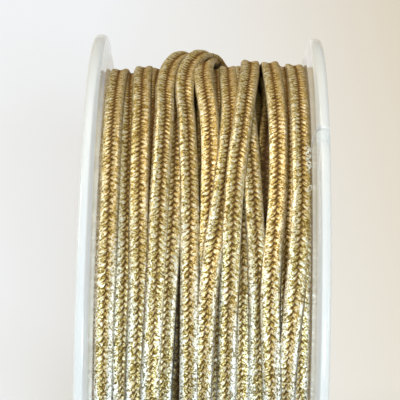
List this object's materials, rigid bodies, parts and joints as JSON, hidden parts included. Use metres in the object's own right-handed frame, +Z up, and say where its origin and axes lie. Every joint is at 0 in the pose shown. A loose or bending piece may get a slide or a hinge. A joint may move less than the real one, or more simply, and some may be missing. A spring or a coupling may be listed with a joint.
{
  "type": "soutache braid on a spool",
  "caption": "Narrow flat braid of metallic yarn, wound turn beside turn on a small two-flange plastic spool that stands on its rims.",
  "frame": {"origin": "middle of the footprint on the surface that the two rims stand on", "axes": "+X along the spool's axle to the right, +Y to the back, +Z up"},
  "size_m": [0.039, 0.1, 0.0997],
  "materials": {
    "spool_plastic": "satin",
    "braid_yarn": "satin"
  },
  "bodies": {
    "root": {"flange_left": "spool_plastic", "flange_right": "spool_plastic", "barrel": "spool_plastic", "braid_winding": "braid_yarn"}
  },
  "joints": []
}
